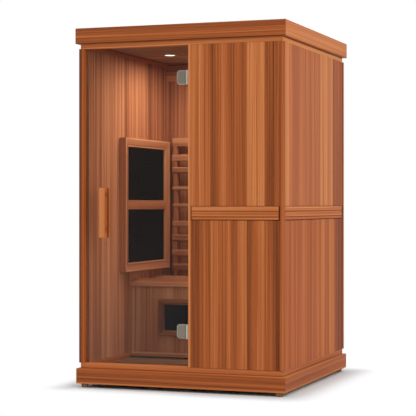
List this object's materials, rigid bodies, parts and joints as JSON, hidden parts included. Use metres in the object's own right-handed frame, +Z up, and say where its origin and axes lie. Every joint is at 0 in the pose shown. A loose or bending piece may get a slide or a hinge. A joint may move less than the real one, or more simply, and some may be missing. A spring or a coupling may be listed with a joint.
{
  "type": "infrared sauna cabin",
  "caption": "Free-standing cedar infrared sauna cabin with a full-height tinted glass door, a bench with a slatted backrest and framed black heaters.",
  "frame": {"origin": "centre of the footprint, on the ground under the feet", "axes": "+Z up, front with the door towards -Y, +X to the right seen from the front"},
  "size_m": [1.206, 1.258, 1.972],
  "materials": {
    "cedar_outside": "satin oiled cedar",
    "cedar_trim": "satin oiled cedar",
    "cedar_inside": "raw planed cedar",
    "cedar_frame": "raw planed cedar",
    "cedar_bench": "raw planed cedar",
    "cedar_floor": "raw planed cedar",
    "cedar_handle": "satin oiled cedar",
    "foot_wood": "dark stained",
    "roof_sheet": "plain ply",
    "tinted_glass": "bronze tint",
    "emitter_black": "matt black",
    "satin_steel": "satin",
    "lamp_ring": "satin",
    "lamp_lit": "frosted, lit",
    "lamp_unlit": "frosted",
    "box_grey": "powder coat",
    "panel_black": "moulded",
    "display_black": "gloss",
    "button_grey": "moulded"
  },
  "bodies": {
    "cabin": {"plinth_front": "cedar_trim", "plinth_right": "cedar_trim", "plinth_back": "cedar_trim", "plinth_left": "cedar_trim", "fascia_front": "cedar_trim", "fascia_right": "cedar_trim", "fascia_back": "cedar_trim", "fascia_left": "cedar_trim", "foot_front_left": "foot_wood", "foot_front_right": "foot_wood", "foot_rear_left": "foot_wood", "foot_rear_right": "foot_wood", "floor_panel": "cedar_floor", "left_lower_boards": "cedar_outside", "left_upper_boards": "cedar_outside", "right_lower_boards": "cedar_outside", "right_upper_boards": "cedar_outside", "front_lower_boards": "cedar_outside", "front_upper_boards": "cedar_outside", "back_outer_boards": "cedar_outside", "left_mid_rail": "cedar_trim", "right_mid_rail": "cedar_trim", "front_mid_rail": "cedar_trim", "front_left_post": "cedar_trim", "front_right_post": "cedar_trim", "hinge_jamb": "cedar_trim", "left_inner_wall": "cedar_inside", "right_inner_wall": "cedar_inside", "back_inner_wall": "cedar_inside", "front_inner_wall": "cedar_inside", "ceiling_panel": "cedar_inside", "roof_cover": "roof_sheet", "front_lamp_bezel": "lamp_ring", "rear_lamp_bezel": "lamp_ring", "front_lamp_lens": "lamp_lit", "rear_lamp_lens": "lamp_unlit", "power_box": "box_grey", "upper_hinge_leaf": "satin_steel", "upper_hinge_pin": "satin_steel", "lower_hinge_leaf": "satin_steel", "lower_hinge_pin": "satin_steel", "left_heater_frame": "cedar_frame", "right_heater_frame": "cedar_frame", "calf_heater_frame": "cedar_frame", "left_heater_panel": "emitter_black", "right_heater_panel": "emitter_black", "calf_heater_panel": "emitter_black", "bench_front": "cedar_bench", "bench_seat": "cedar_bench", "backrest": "cedar_bench", "control_panel": "panel_black", "control_display": "display_black"},
    "door": {"door_glass": "tinted_glass", "handle_outer": "cedar_handle", "handle_inner": "cedar_handle", "upper_hinge_clamp": "satin_steel", "lower_hinge_clamp": "satin_steel"},
    "down_key": {"down_button": "button_grey"},
    "power_key": {"power_button": "button_grey"},
    "up_key": {"up_button": "button_grey"}
  },
  "joints": [
    {"name": "door_hinge", "type": "hinge", "parent": "cabin", "child": "door", "pos_m": [0.043, -0.598, 0], "axis": [0, 0, 1], "range_deg": [0, 95]},
    {"name": "down_press", "type": "slide", "parent": "cabin", "child": "down_key", "axis": [0, -1, 0], "range_m": [0, 0.0015], "stiffness_N_per_m": 300},
    {"name": "power_press", "type": "slide", "parent": "cabin", "child": "power_key", "axis": [0, -1, 0], "range_m": [0, 0.0015], "stiffness_N_per_m": 300},
    {"name": "up_press", "type": "slide", "parent": "cabin", "child": "up_key", "axis": [0, -1, 0], "range_m": [0, 0.0015], "stiffness_N_per_m": 300}
  ]
}
